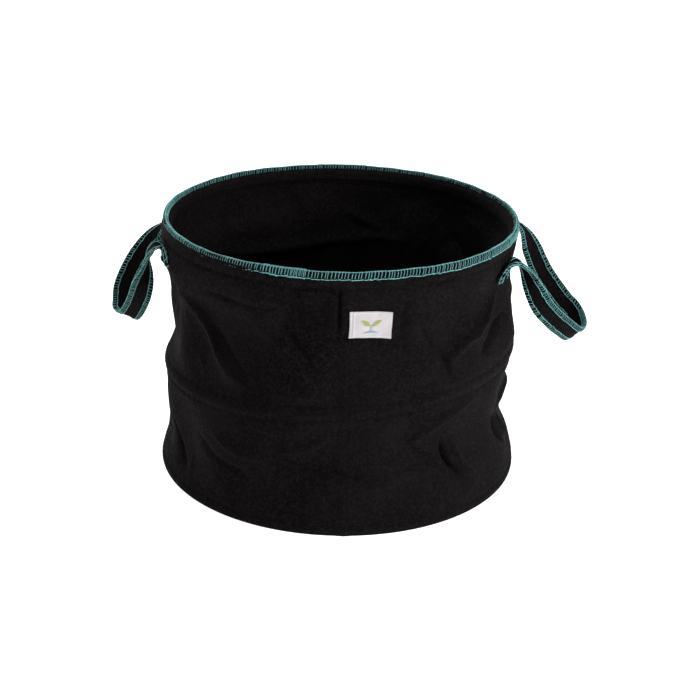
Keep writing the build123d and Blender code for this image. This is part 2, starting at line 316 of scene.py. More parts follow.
def tube_mesh(paths, radius):
    """Points and quads of round threads along many paths, given as an array of (path, point, xyz)."""
    paths = np.asarray(paths, float)
    count, points = paths.shape[:2]
    along = np.gradient(paths, axis=1)
    along /= np.linalg.norm(along, axis=2, keepdims=True) + 1e-12
    helper = np.where(np.abs(along[..., 2:3]) > 0.8, np.array([1.0, 0.0, 0.0]), np.array([0.0, 0.0, 1.0]))
    helper[:] = helper[:, points // 2 : points // 2 + 1]
    first = np.cross(along, helper)
    first /= np.linalg.norm(first, axis=2, keepdims=True) + 1e-12
    second = np.cross(along, first)
    size = np.full(points, 1.0)
    size[[0, -1]] = THREAD_TIP
    turn = np.arange(THREAD_SIDES) * 2 * np.pi / THREAD_SIDES
    ring = first[:, :, None] * np.cos(turn)[:, None] + second[:, :, None] * np.sin(turn)[:, None]
    made = paths[:, :, None] + radius * size[None, :, None, None] * ring
    faces = grid_faces(points, THREAD_SIDES, close_columns=True)
    first_points = np.arange(count) * points * THREAD_SIDES
    faces = (faces[None] + first_points[:, None, None]).reshape(-1, 4)
    return made.reshape(-1, 3), faces


def threads(name, groups, material):
    """One piece from several groups of threads, each (paths, radius)."""
    points, faces, used = [], [], 0
    for paths, radius in groups:
        some_points, some_faces = tube_mesh(paths, radius)
        points.append(some_points)
        faces.append(some_faces + used)
        used += len(some_points)
    return make_piece(name, np.vstack(points), np.vstack(faces), material)


# How far a stitch stands out of the cloth along its length
STITCH_SHAPE = np.array([-0.45, 0.2, 0.42, 0.46, 0.2, -0.45]) * MM
jitter = np.random.RandomState(5)


def row_paths(place, count, fill=0.76):
    """A row of stitches: place(t, out) gives points at t along the row and out from its cloth."""
    middles = (np.arange(count) + 0.5 + 0.06 * jitter.randn(count)) / count
    spans = np.linspace(-0.5, 0.5, len(STITCH_SHAPE)) * fill / count
    t = middles[:, None] + spans[None]
    return place(t, np.broadcast_to(STITCH_SHAPE, t.shape))


# Materials
def new_material(name):
    material = bpy.data.materials.new(name)
    material.use_nodes = True
    tree = material.node_tree
    shader = tree.nodes["Principled BSDF"]
    return material, tree, shader


def add_node(tree, kind, inputs, **settings):
    """A node with its settings, and inputs that are either values or other nodes' sockets."""
    node = tree.nodes.new(kind)
    for key, value in settings.items():
        setattr(node, key, value)
    for key, value in inputs.items():
        if isinstance(value, bpy.types.NodeSocket):
            tree.links.new(value, node.inputs[key])
        else:
            node.inputs[key].default_value = value
    return node


def coordinates(tree, stretch=(1, 1, 1)):
    source = tree.nodes.new("ShaderNodeTexCoord").outputs["Object"]
    return add_node(tree, "ShaderNodeMapping", {"Vector": source, "Scale": stretch}).outputs["Vector"]


def noise(tree, place, scale, detail=4.0, distortion=0.0):
    inputs = {"Vector": place, "Scale": scale, "Detail": detail, "Distortion": distortion}
    return add_node(tree, "ShaderNodeTexNoise", inputs).outputs["Fac"]


def remap(tree, value, low, high, new_low, new_high):
    inputs = {"Value": value, "From Min": low, "From Max": high, "To Min": new_low, "To Max": new_high}
    return add_node(tree, "ShaderNodeMapRange", inputs).outputs["Result"]


def mix_colours(tree, share, first, second):
    node = tree.nodes.new("ShaderNodeMix")
    node.data_type = "RGBA"
    for socket, value in ((node.inputs[0], share), (node.inputs[6], first), (node.inputs[7], second)):
        if isinstance(value, bpy.types.NodeSocket):
            tree.links.new(value, socket)
        else:
            socket.default_value = value if isinstance(value, float) else (*value, 1.0)
    return node.outputs[2]


def bump(tree, height, strength, distance, under=None):
    inputs = {"Height": height, "Strength": strength, "Distance": distance}
    if under is not None:
        inputs["Normal"] = under
    return add_node(tree, "ShaderNodeBump", inputs).outputs["Normal"]


def felt_material(name, dark, light, sheen):
    """Needle-punched felt: matted fibres, small pits, pale flecks and patches worn by handling."""
    material, tree, shader = new_material(name)
    place = coordinates(tree)
    patches = remap(tree, noise(tree, place, 11.0, 5.0, 0.6), 0.34, 0.68, 0.0, 1.0)
    mottle = remap(tree, noise(tree, place, 360.0, 5.0, 0.8), 0.47, 0.62, 0.0, 1.0)
    fibres_one = noise(tree, coordinates(tree, (1.0, 1.0, 5.0)), 620.0, 3.0, 2.2)
    fibres_two = noise(tree, coordinates(tree, (4.0, 4.0, 1.0)), 560.0, 3.0, 2.6)
    matted = add_node(tree, "ShaderNodeMath", {0: fibres_one, 1: fibres_two}, operation="MAXIMUM").outputs[0]
    flecks = remap(tree, matted, 0.6, 0.74, 0.0, 1.0)
    middle = tuple((a + b) / 2 for a, b in zip(dark, light))
    colour = mix_colours(tree, patches, dark, middle)
    colour = mix_colours(tree, remap(tree, mottle, 0.0, 1.0, 0.0, 0.8), colour, light)
    pale = tuple(6.5 * c for c in light)
    colour = mix_colours(tree, remap(tree, flecks, 0.0, 1.0, 0.0, 0.5), colour, pale)
    tree.links.new(colour, shader.inputs["Base Color"])
    tree.links.new(remap(tree, mottle, 0.0, 1.0, 0.98, 0.8), shader.inputs["Roughness"])
    shader.inputs["Specular IOR Level"].default_value = 0.035
    shader.inputs["Sheen Weight"].default_value = sheen
    shader.inputs["Sheen Roughness"].default_value = 0.45
    shader.inputs["Sheen Tint"].default_value = (0.62, 0.55, 0.56, 1.0)
    pits = add_node(tree, "ShaderNodeTexVoronoi", {"Vector": place, "Scale": 420.0}).outputs["Distance"]
    lumps = bump(tree, noise(tree, place, 150.0, 5.0, 0.5), 0.7, 0.0016)
    pitted = bump(tree, pits, 0.3, 0.0006, lumps)
    tree.links.new(bump(tree, matted, 0.75, 0.0006, pitted), shader.inputs["Normal"])
    return material


def thread_material(name, dark, light, twist, roughness, gloss=0.35):
    """Twisted thread: plies run round it, with loose filaments and painted shade in the gaps between the
    plies.
    """
    material, tree, shader = new_material(name)
    place = coordinates(tree)
    inputs = {"Vector": place, "Scale": twist, "Distortion": 3.0, "Detail": 2.0}
    plies = add_node(tree, "ShaderNodeTexWave", inputs, bands_direction="DIAGONAL").outputs["Fac"]
    uneven = remap(tree, noise(tree, place, 70.0, 4.0), 0.3, 0.7, 0.0, 1.0)
    hairs = noise(tree, place, 2600.0, 2.0, 1.0)
    # Painted shade: the colour falls to the dark colour in the gaps between the plies and rises to the light
    # colour on them
    colour = mix_colours(tree, remap(tree, plies, 0.0, 1.0, 0.15, 1.0), dark, light)
    colour = mix_colours(tree, remap(tree, uneven, 0.0, 1.0, 0.0, 0.4), colour, dark)
    tree.links.new(colour, shader.inputs["Base Color"])
    tree.links.new(remap(tree, hairs, 0.3, 0.7, roughness, roughness + 0.25), shader.inputs["Roughness"])
    shader.inputs["Sheen Weight"].default_value = 0.5 * gloss
    shader.inputs["Specular IOR Level"].default_value = gloss
    strands = bump(tree, plies, 0.6, 0.0003)
    tree.links.new(bump(tree, hairs, 0.4, 0.0002, strands), shader.inputs["Normal"])
    return material


def woven_material(name, shade, light):
    """Closely woven label tape: fine warp and weft, with a faint stain or two."""
    material, tree, shader = new_material(name)
    place = coordinates(tree)
    warp = {"Vector": place, "Scale": 640.0, "Distortion": 0.6, "Detail": 1.0}
    across = add_node(tree, "ShaderNodeTexWave", warp, bands_direction="X").outputs["Fac"]
    upright = add_node(tree, "ShaderNodeTexWave", warp, bands_direction="Z").outputs["Fac"]
    weave = add_node(tree, "ShaderNodeMath", {0: across, 1: upright}, operation="MULTIPLY").outputs[0]
    stains = remap(tree, noise(tree, place, 60.0, 5.0), 0.35, 0.7, 0.0, 0.5)
    colour = mix_colours(tree, remap(tree, weave, 0.0, 0.7, 0.0, 1.0), shade, light)
    colour = mix_colours(tree, stains, colour, tuple(0.86 * c for c in shade))
    tree.links.new(colour, shader.inputs["Base Color"])
    tree.links.new(remap(tree, weave, 0.0, 1.0, 0.75, 0.5), shader.inputs["Roughness"])
    shader.inputs["Sheen Weight"].default_value = 0.5
    tree.links.new(bump(tree, weave, 0.6, 0.0003), shader.inputs["Normal"])
    return material


def metal_material(name, dark, light, roughness):
    """Drawn or crimped metal: fine lines along it, with duller patches."""
    material, tree, shader = new_material(name)
    place = coordinates(tree)
    lines = noise(tree, coordinates(tree, (1.0, 1.0, 14.0)), 300.0, 5.0)
    dull = remap(tree, noise(tree, place, 40.0, 4.0), 0.35, 0.7, 0.0, 1.0)
    tree.links.new(mix_colours(tree, dull, light, dark), shader.inputs["Base Color"])
    tree.links.new(remap(tree, dull, 0.0, 1.0, roughness, roughness + 0.2), shader.inputs["Roughness"])
    shader.inputs["Metallic"].default_value = 1.0
    tree.links.new(bump(tree, lines, 0.3, 0.0002), shader.inputs["Normal"])
    return material


felt = felt_material("felt", (0.0005, 0.0004, 0.00045), (0.0044, 0.0035, 0.0038), 0.005)
strip_felt = felt_material("strip_felt", (0.0007, 0.00055, 0.0006), (0.0038, 0.0030, 0.0033), 0.005)
black_thread = thread_material(
    "black_thread", (0.0006, 0.0005, 0.0006), (0.0036, 0.0031, 0.0033), 900.0, 0.6, 0.03
)
turquoise = thread_material("turquoise", (0.008, 0.070, 0.072), (0.16, 0.50, 0.49), 620.0, 0.3)
label_cloth = woven_material("label_cloth", (0.25, 0.235, 0.245), (0.42, 0.39, 0.405))
pale_thread = thread_material("pale_thread", (0.42, 0.41, 0.43), (0.72, 0.70, 0.72), 900.0, 0.4)
leaf_thread = thread_material("leaf_thread", (0.16, 0.20, 0.06), (0.42, 0.44, 0.16), 800.0, 0.4)
mound_thread = thread_material("mound_thread", (0.10, 0.19, 0.26), (0.26, 0.37, 0.46), 800.0, 0.4)
steel = metal_material("tempered_steel", (0.012, 0.012, 0.013), (0.03, 0.03, 0.032), 0.5)
aluminium = metal_material("crimped_aluminium", (0.50, 0.50, 0.51), (0.78, 0.78, 0.79), 0.32)

# Wall
RIM_PRESSED = 0.65  # share of the felt's thickness that is left under the overlock
COLUMNS = 900
angles = np.arange(COLUMNS) * 360.0 / COLUMNS


def felt_depth(z):
    """Thickness of the wall's felt, which the overlock presses thinner at the rim."""
    return FELT * (1 - (1 - RIM_PRESSED) * smooth_step((z - 292 * MM) / (6 * MM)))


def shell_of_wall():
    """The felt wall as one closed sheet: its outer face, rolled top edge, inner face and foot."""
    outer = np.linspace(3.0 * MM, TOP - 0.9 * MM, 200)
    inner = np.linspace(TOP - 0.9 * MM, 3.2 * MM, 90)
    foot = [0.0, 0.35 * MM, 1.3 * MM]
    foot_depths = [2.6 * MM, 1.1 * MM, 0.3 * MM]
    crest = [TOP - 0.2 * MM, TOP, TOP - 0.2 * MM]
    crest_depths = [0.4 * MM, 1.0 * MM, 1.6 * MM]
    heights = np.concatenate([foot, outer, crest, inner])
    depths = np.concatenate([foot_depths, np.zeros(len(outer)), crest_depths, felt_depth(inner)])
    z, angle = np.meshgrid(heights, angles, indexing="ij")
    radius = wall(angle, z) - depths[:, None]
    points = around(radius, angle, z)
    return make_piece("felt_wall", points, grid_faces(len(heights), COLUMNS, True, True), felt)


felt_wall = shell_of_wall()


def closed_band(name, front, thickness, material, closed=True):
    """A strip with thickness, which runs inward from its outer face: an array of (row, column, xyz)."""
    rows, across = front.shape[:2]
    around_it = np.roll(front, -1, 1) - np.roll(front, 1, 1) if closed else np.gradient(front, axis=1)
    up_it = np.gradient(front, axis=0)
    normal = np.cross(around_it, up_it)
    normal /= np.linalg.norm(normal, axis=2, keepdims=True) + 1e-12
    back = front - normal * thickness
    points = np.concatenate([front, back[::-1]])
    faces = [grid_faces(2 * rows, across, True, closed)]
    if not closed:
        index = np.arange(2 * rows * across).reshape(2 * rows, across)
        for column in (0, across - 1):
            before, behind = index[:rows, column], index[rows:, column][::-1]
            faces.append(np.stack([before[:-1], before[1:], behind[1:], behind[:-1]], -1))
    return make_piece(name, points, np.vstack(faces), material)


def hoop_radius(name):
    low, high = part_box(name)
    return (high[1] - low[1]) / 2 - HOOP_WIRE / 2


def casing(name, middle, low, high, radius):
    """Strip that holds a hoop against the wall's inner face: flat at its edges, humped over the hoop."""
    rows = 25
    steps = np.linspace(0, 1, rows)[:, None]
    angle = np.broadcast_to(angles[None], (rows, COLUMNS))
    z = low(angle) + steps * (high(angle) - low(angle))
    hump = smooth_step(1.75 - np.abs(z - middle(angle)) / (4.4 * MM))
    fine = 0.35 * MM * np.sin(np.radians(angle * 61) + z * 300)
    ripple = fine + 0.3 * MM * np.sin(np.radians(angle * 23) + 2)
    flat = wall(angle, z) - felt_depth(z) - GAP - np.abs(ripple) * (1 - hump)
    over = radius - 2.0 * MM + 0.3 * ripple
    return closed_band(name, around(flat + hump * (over - flat), angle, z), LINING, strip_felt)


rim_radius = hoop_radius("rim_hoop")
mid_radius = hoop_radius("mid_hoop")
base_radius = hoop_radius("base_hoop")
rim_facing = casing(
    "rim_channel_strip",
    lambda a: np.full_like(a, 287.0 * MM),
    lambda a: HEIGHT - RIM_STRIP + 0.7 * MM * np.sin(np.radians(4 * a)),
    lambda a: np.full_like(a, TOP - 0.3 * MM),
    rim_radius,
)
mid_casing = casing(
    "mid_channel_strip",
    mid_height,
    lambda a: mid_height(a) - MID_STRIP / 2 + 0.5 * MM * np.sin(np.radians(5 * a)),
    lambda a: mid_height(a) + MID_STRIP / 2 + 0.5 * MM * np.sin(np.radians(6 * a)),
    mid_radius,
)


def base_channel():
    """Strip that wraps the base hoop in the corner between the wall and the base."""
    lip = 3.5 * MM  # underside of the part that lies on the base
    section = (
        (base_radius - 17.0 * MM, lip),
        (base_radius - 9.0 * MM, lip),
        (base_radius - 4.6 * MM, 4.4 * MM),
        (base_radius - 3.5 * MM, 6.6 * MM),
        (base_radius - 2.6 * MM, 9.4 * MM),
    )
    ripple = 0.3 * MM * np.sin(np.radians(angles * 37))
    rows = [around(radius + ripple, angles, z) for radius, z in section]
    for z in np.linspace(12.5, 20.0, 6) * MM:
        high = z + 0.5 * MM * np.sin(np.radians(angles * 5))
        rows.append(around(wall(angles, high) - FELT - GAP, angles, high))
    return closed_band("base_channel_strip", np.array(rows), LINING, strip_felt)


base_casing = base_channel()


def base_sheet():
    """Round felt base, flat below and a little uneven above."""
    low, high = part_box("base_disc")
    radius = (high[0] - low[0]) / 2
    shares = np.concatenate([np.linspace(0.001, 0.9, 70), np.linspace(0.91, 0.995, 12)])
    share, angle = np.meshgrid(shares, angles[::3], indexing="ij")
    turn = np.radians(angle)
    uneven = 0.35 * np.sin(5 * turn + 9 * share) + 0.3 * np.sin(3 * turn - 14 * share)
    uneven = uneven + 0.25 * np.sin(31 * share)
    top = around(share * radius, angle, (2.75 + 0.3 * uneven * (1 - share**6)) * MM)
    edge = around(np.full(angle.shape[1], radius), angle[0], 1.5 * MM)[None]
    under = around(share * radius, angle, np.full_like(share, 0.25 * MM))[::-1]
    points = np.concatenate([top, edge, under])
    return make_piece("felt_base", points, grid_faces(len(points), angle.shape[1], True, True), felt)


felt_base = base_sheet()

# Rows of stitches
AROUND = int(2 * math.pi * RIM_RADIUS / STITCH)


def level_row(height, inward=False):
    """Stitches round the bag at a height that may depend on the angle, on the outer or the inner face."""

    def place(t, out):
        angle = 360.0 * t
        z = height(angle)
        if inward:
            return around(wall(angle, z) - FELT - GAP - LINING - out, angle, z)
        return on_wall(angle, z, out)

    return row_paths(place, AROUND)


def flat_height(z):
    """A height that wanders a little round the bag."""

    def height(angle):
        wander = z + 0.5 * MM * np.sin(np.radians(5 * angle))
        return wander + 0.3 * MM * np.sin(np.radians(13 * angle + 50))

    return height


rim_rows = threads(
    "rim_stitch_row",
    [(level_row(flat_height(RIM_ROW), inward), THREAD) for inward in (False, True)],
    black_thread,
)
base_rows = threads("base_stitch_row", [(level_row(flat_height(BASE_ROW)), THREAD)], black_thread)
mid_rows = threads(
    "mid_stitch_rows",
    [(level_row(lambda a, side=side: mid_row(a, side)), THREAD) for side in (-1, 1)],
    black_thread,
)
mid_inner_rows = threads(
    "mid_inner_stitch_rows",
    [(level_row(lambda a, side=side: mid_row(a, side), inward=True), THREAD) for side in (-1, 1)],
    black_thread,
)


def seam_row(side):
    """One of the seam's two rows, from just above the ground up to the label."""
    low = 4.0

    def place(t, out):
        z = (low + t * (SEAM_TOP / MM - low)) * MM
        sway = 0.25 * np.sin(z / MM / 19 + side)
        angle = SEAM_ANGLE + np.degrees((side * SEAM_ROWS / 2 + sway * MM) / cone(z))
        return on_wall(angle, z, out)

    return row_paths(place, int(SEAM_TOP / STITCH))


seam_rows = threads("seam_stitch_rows", [(seam_row(side), THREAD) for side in (-1, 1)], black_thread)


# Overlock
def overlock(name, edge, length, depth, half, pitch, bar=0.34 * MM, chain=0.44 * MM):
    """Overlock over a cloth's edge. edge(s) gives its place, the way out past it and the cloth's normal."""
    count = int(length / pitch)
    step = length / count
    at = (np.arange(count) + 0.5) * step + 0.12 * pitch * jitter.randn(count)
    deep = depth * (1 + 0.05 * jitter.randn(count))
    slant = 0.34 * pitch
    face = half + 0.35 * MM
    shape = (
        (-1.0, 0.7, -0.5), (-0.72, 1.0, -0.4), (-0.3, 1.06, -0.15), (0.02, 0.8, 0.0), (0.085, 0.0, 0.1),
        (0.02, -0.8, 0.2), (-0.3, -1.06, 0.35), (-0.72, -1.0, 0.6), (-1.0, -0.7, 0.7),
    )
    bars = []
    for down, side, lean in shape:
        place, out, normal = edge(np.clip(at + lean * 2 * slant, 0, length))
        bars.append(place + out * (down * deep)[:, None] + normal * (side * face))
    groups = [(np.stack(bars, 1), bar)]
    spans = np.linspace(-0.62, 0.62, 6)
    for side, drop in ((0.0, 0.03), (1.0, -1.0), (-1.0, -1.0)):
        link = []
        for k, span in enumerate(spans):
            place, out, normal = edge(np.clip(at + span * pitch, 0, length))
            rise = 0.45 * MM * math.sin(math.pi * k / (len(spans) - 1)) - 0.1 * MM
            weave = 0.35 * MM * (k / (len(spans) - 1) - 0.5)
            if drop < 0:
                outward = drop * deep + weave
                sideways = side * (face + rise)
            else:
                outward = np.full(count, 0.55 * MM) + rise + weave
                sideways = side * face
            link.append(place + out * outward[:, None] + normal * sideways)
        groups.append((np.stack(link, 1), chain))
    return threads(name, groups, turquoise)


RIM_THICKNESS = RIM_PRESSED * FELT + GAP + LINING


def rim_edge(start=0.0, grow=0.0):
    """The wall's top edge, measured along it from an angle."""

    def edge(s):
        angle = start + np.degrees(s / RIM_RADIUS)
        wave = 0.35 * MM * np.sin(np.radians(angle * 9)) + 0.25 * MM * np.sin(np.radians(angle * 31 + 20))
        middle = RIM_RADIUS - RIM_THICKNESS / 2
        place = around(np.full_like(angle, middle), angle, TOP - 0.2 * MM + wave + grow)
        out = np.broadcast_to(np.array([0.0, 0.0, 1.0]), place.shape)
        normal = around(np.ones_like(angle), angle, 0.0)
        return place, out, normal

    return edge


rim_overlock = overlock(
    "rim_overlock_thread", rim_edge(), 2 * math.pi * RIM_RADIUS, OVERLOCK_DEPTH,
    RIM_THICKNESS / 2 + 0.2 * MM, 3.4 * MM,
)
OVERLAP_START = -113.0  # where the overlock's two ends lie over each other, in degrees
OVERLAP_TURN = 13.0
rim_overlap = overlock(
    "rim_overlock_overlap",
    rim_edge(OVERLAP_START, 0.7 * MM),
    math.radians(OVERLAP_TURN) * RIM_RADIUS,
    OVERLOCK_DEPTH + 0.6 * MM,
    RIM_THICKNESS / 2 + 0.9 * MM,
    3.1 * MM,
)


# Patch and label
PATCH_CORNER = (-99.9, 239.5)  # where the patch's two rows of stitches meet: angle, and height in mm


def make_patch():
    """The felt patch beside the seam, whose open right edge stands off the wall."""
    across, up = np.meshgrid(np.linspace(0, 1, 48), np.linspace(0, 1, 40))
    left = -100.7 + 0.3 * np.sin(5 * up)
    right = -90.9 + 0.35 * np.sin(3 * up + 1) + 0.25 * np.sin(17 * up)
    low = (237.0 + 0.8 * np.sin(3 * across)) * MM
    high = (278.5 + 0.3 * across) * MM
    angle = left + across * (right - left)
    z = low + up * (high - low)
    lift = 3.6 * MM * smooth_step((across - 0.6) / 0.4) * (0.45 + 0.55 * hill(up - 0.6, 0.6))
    front = on_wall(angle, z, GAP + PATCH_FELT + lift)
    return closed_band("seam_patch_felt", front, PATCH_FELT, strip_felt, closed=False)


patch = make_patch()


def patch_row(start, end, count):
    """Stitches in a straight line between two places, each an angle and a height in mm."""

    def place(t, out):
        angle = start[0] + t * (end[0] - start[0])
        z = (start[1] + t * (end[1] - start[1])) * MM
        return on_wall(angle, z, GAP + PATCH_FELT + out)

    return row_paths(place, count)


patch_rows = threads(
    "patch_stitch_rows",
    [
        (patch_row((PATCH_CORNER[0], 276), PATCH_CORNER, 12), THREAD),
        (patch_row(PATCH_CORNER, (-92.5, PATCH_CORNER[1]), 8), THREAD),
    ],
    black_thread,
)
# The angles of the label's side edges, and the heights of the other two at the left, in mm
LABEL_LEFT = -86.9
LABEL_RIGHT = -73.5
LABEL_LOW = 225.4
LABEL_HIGH = 258.4


def label_lift(across, up):
    """How far the label stands off the wall: a slight bulge, and a lifted corner at the lower right."""
    corner = smooth_step((across - 0.85) / 0.15) * smooth_step((0.35 - up) / 0.35)
    bulge = 0.5 * np.sin(3.0 * across) * np.sin(3.1 * up)
    return (bulge + 1.3 * corner + 0.12 * np.sin(22 * across + 3 * up)) * MM


def label_place(across, up, out=0.0):
    """A point on the label, from 0 to 1 across it and up it."""
    angle = LABEL_LEFT + across * (LABEL_RIGHT - LABEL_LEFT) + 0.15 * np.sin(3 * up)
    low = LABEL_LOW - 3.0 * across
    high = LABEL_HIGH - 5.6 * across
    z = (low + up * (high - low) + 0.5 * np.sin(3 * across)) * MM
    return on_wall(angle, z, GAP + LABEL_CLOTH + label_lift(across, up) + out)


def make_label():
    across, up = np.meshgrid(np.linspace(0, 1, 70), np.linspace(0, 1, 48))
    return closed_band("woven_label", label_place(across, up), LABEL_CLOTH, label_cloth, closed=False)


label = make_label()


def label_line(start, end, count):
    """Stitches in a straight line between two places on the label."""

    def place(t, out):
        across = start[0] + t * (end[0] - start[0])
        return label_place(across, start[1] + t * (end[1] - start[1]), 0.55 * out)

    return row_paths(place, count, 0.7)


LABEL_FRAME = ((0.035, 0.06), (0.965, 0.06), (0.965, 0.94), (0.035, 0.94))
label_rows = threads(
    "label_stitch_rows",
    [
        (label_line(a, b, count), 0.26 * MM)
        for a, b, count in zip(LABEL_FRAME, LABEL_FRAME[1:] + LABEL_FRAME[:1], (20, 12, 20, 12))
    ],
    pale_thread,
)
LABEL_WIDTH = 47.0  # in mm
LABEL_DEPTH = 31.0


def satin(lines):
    """Embroidered satin stitches from (x, y) to (x, y), in mm from the label's middle."""
    paths = []
    for (x0, y0), (x1, y1) in lines:
        t = np.linspace(0, 1, 5)
        out = (0.05 + 0.42 * np.sin(np.pi * t)) * MM
        across = 0.5 + (x0 + t * (x1 - x0)) / LABEL_WIDTH
        paths.append(label_place(across, 0.5 + (y0 + t * (y1 - y0)) / LABEL_DEPTH, out))
    return np.array(paths)


def leaf(root, lean, long, wide):
    """A plain leaf of satin stitches that meet at its vein."""
    lines = []
    turn = math.radians(lean)
    forward = np.array([math.cos(turn), math.sin(turn)])
    sideways = np.array([-forward[1], forward[0]])
    for share in np.linspace(0.03, 0.97, 22):
        half = wide * math.sin(math.pi * share**0.85)
        vein = np.array(root) + forward * long * share
        for side in (-1, 1):
            tip = vein + sideways * side * half + forward * 1.3
            lines.append((tuple(vein), tuple(tip)))
    return lines


sprout = leaf((0.3, -1.2), 32, 12.0, 2.9) + leaf((-0.3, -1.2), 148, 12.0, 2.9)
sprout += [((-0.45, y), (0.45, y + 0.35)) for y in np.arange(-6.0, -0.8, 0.42)]
mound = [((x, -9.2), (x + 0.25, -6.6 - 0.035 * x * x)) for x in np.arange(-8.4, 8.5, 0.5)]
label_sprout = threads("label_sprout", [(satin(sprout), 0.25 * MM)], leaf_thread)
label_mound = threads("label_mound", [(satin(mound), 0.25 * MM)], mound_thread)


# Strap handles
def smooth_line(points):
    """A smooth line through given points, evenly spaced along its length."""
    points = np.array(points, float)
    ends = np.vstack([2 * points[0] - points[1], points, 2 * points[-1] - points[-2]])
    line = []
    for a, b, c, d in zip(ends, ends[1:], ends[2:], ends[3:]):
        t = np.linspace(0, 1, 24, endpoint=False)[:, None]
        square = (2 * a - 5 * b + 4 * c - d) * t**2
        line.append(0.5 * (2 * b + (c - a) * t + square + (3 * b - a - 3 * c + d) * t**3))
    line = np.vstack([*line, points[-1:]])
    for _ in range(3):
        line[1:-1] = 0.25 * line[:-2] + 0.5 * line[1:-1] + 0.25 * line[2:]
    lengths = np.concatenate([[0], np.cumsum(np.linalg.norm(np.diff(line, axis=0), axis=1))])
    even = np.linspace(0, lengths[-1], 420)
    return np.stack([np.interp(even, lengths, line[:, k]) for k in range(3)], 1), lengths[-1]


class Strap:
    """A strap's middle line, with the way across it at each point."""

    def __init__(self, side, knots, sewn):
        self.side = side
        near, far = [[self.sewn_knot(angle, z) for z in heights] for angle, *heights in sewn]
        placed = near + [self.knot(*k) for k in knots] + [(place, -width) for place, width in far[::-1]]
        places = [place for place, _ in placed]
        widths = [width for _, width in placed]
        self.line, self.length = smooth_line(places)
        marks = self.marks(places)
        even = np.linspace(0, self.length, len(self.line))
        raw = np.stack([np.interp(even, marks, np.array(widths)[:, k]) for k in range(3)], 1)
        for _ in range(30):
            raw[1:-1] = 0.25 * raw[:-2] + 0.5 * raw[1:-1] + 0.25 * raw[2:]
        along = np.gradient(self.line, axis=0)
        along /= np.linalg.norm(along, axis=1, keepdims=True)
        raw -= along * (raw * along).sum(1, keepdims=True)
        self.width = raw / np.linalg.norm(raw, axis=1, keepdims=True)
        self.normal = np.cross(self.width, along)
        self.even = even

    def marks(self, places):
        """How far along the line each knot is."""
        nearest = [int(np.argmin(np.linalg.norm(self.line - p, axis=1))) for p in places]
        return np.array(nearest) * self.length / (len(self.line) - 1)

    def sewn_knot(self, angle, z):
        """A point of the strap where it lies on the wall."""
        turned = angle if self.side > 0 else 180 - angle
        place = on_wall(np.array(turned), np.array(z * MM), GAP + 2.5 * MM)
        turn = math.radians(angle)
        return place, np.array([self.side * math.sin(turn), -math.cos(turn), 0.0])

    def knot(self, x, y, z, wx, wy, wz):
        """A point of the strap off the wall, from its place in mm and the way across the strap."""
        width = np.array([self.side * wx, wy, wz], float)
        return np.array([self.side * x, y, z], float) * MM, width / np.linalg.norm(width)

    def at(self, s, values):
        """Values along the strap, such as its line, at lengths s."""
        return np.stack([np.interp(s, self.even, values[:, k]) for k in range(3)], -1)

    def joints(self):
        """How far along the strap it crosses the hinge line, near the camera and away from it."""
        beyond = np.flatnonzero(self.side * self.line[:, 0] > HINGE_X)
        return self.even[beyond[0]], self.even[beyond[-1]]


# Section of a strap: share of the way across it, and which face
SECTION = [(w, 1.0) for w in np.linspace(-1, 1, 13)] + [(1.07, 0.0)]
SECTION += [(w, -1.0) for w in np.linspace(1, -1, 13)] + [(-1.07, 0.0)]


STRAP_HALF = 1.5  # half of the strap's thickness, in mm


def strap_ripple(s, across):
    """How far the strap's face ripples, in mm, at length s and a share across from -1 to 1."""
    return 0.3 * np.sin(s * 210 + 3 * across) * across + 0.35 * np.sin(s * 90 + 1) * (across**2 - 0.4)


def drawn_in(ring, share):
    """A ring of points drawn towards its middle, to a share of its size."""
    middle = ring.mean(0)
    return middle + share * (ring - middle)


def strap_mesh(name, strap, spans, material):
    """The strap over some spans of its length, with soft edges and a slight cup and ripple."""
    points, faces, used = [], [], 0
    for start, end in spans:
        s = np.linspace(start, end, max(8, int((end - start) / (1.1 * MM))))
        middle, width, normal = (strap.at(s, v) for v in (strap.line, strap.width, strap.normal))
        rings = []
        for across, side in SECTION:
            half = STRAP_HALF * (0.8 if abs(across) > 0.8 else 1.0)
            lift = ((side * half + strap_ripple(s, across)) * MM)[:, None]
            rings.append(middle + width * across * STRAP / 2 + normal * lift)
        grid = np.stack(rings, 1)
        first, last = drawn_in(grid[0], 0.96), drawn_in(grid[-1], 0.96)
        grid = np.stack([drawn_in(grid[0], 0.01), first, *grid[1:-1], last, drawn_in(last, 0.01)])
        points.append(grid.reshape(-1, 3))
        faces.append(grid_faces(len(grid), len(SECTION), close_columns=True) + used)
        used += len(points[-1])
    return make_piece(name, np.vstack(points), np.vstack(faces), material)


def strap_overlock(name, strap, spans):
    """Overlock along both edges of a strap, over some spans of its length."""
    pieces = []
    for start, end in spans:
        for side in (-1, 1):

            def edge(s, start=start, side=side):
                s = start + s
                place, width, normal = (strap.at(s, v) for v in (strap.line, strap.width, strap.normal))
                lift = (strap_ripple(s, side * 0.98) * MM)[:, None]
                return place + width * side * STRAP / 2 + normal * lift, width * side, normal

            pieces.append(
                overlock(
                    f"{name}_{len(pieces)}", edge, end - start, STRAP_OVERLOCK, STRAP_HALF * MM, 3.4 * MM,
                    bar=0.3 * MM, chain=0.36 * MM,
                )
            )
    return join(name, pieces)


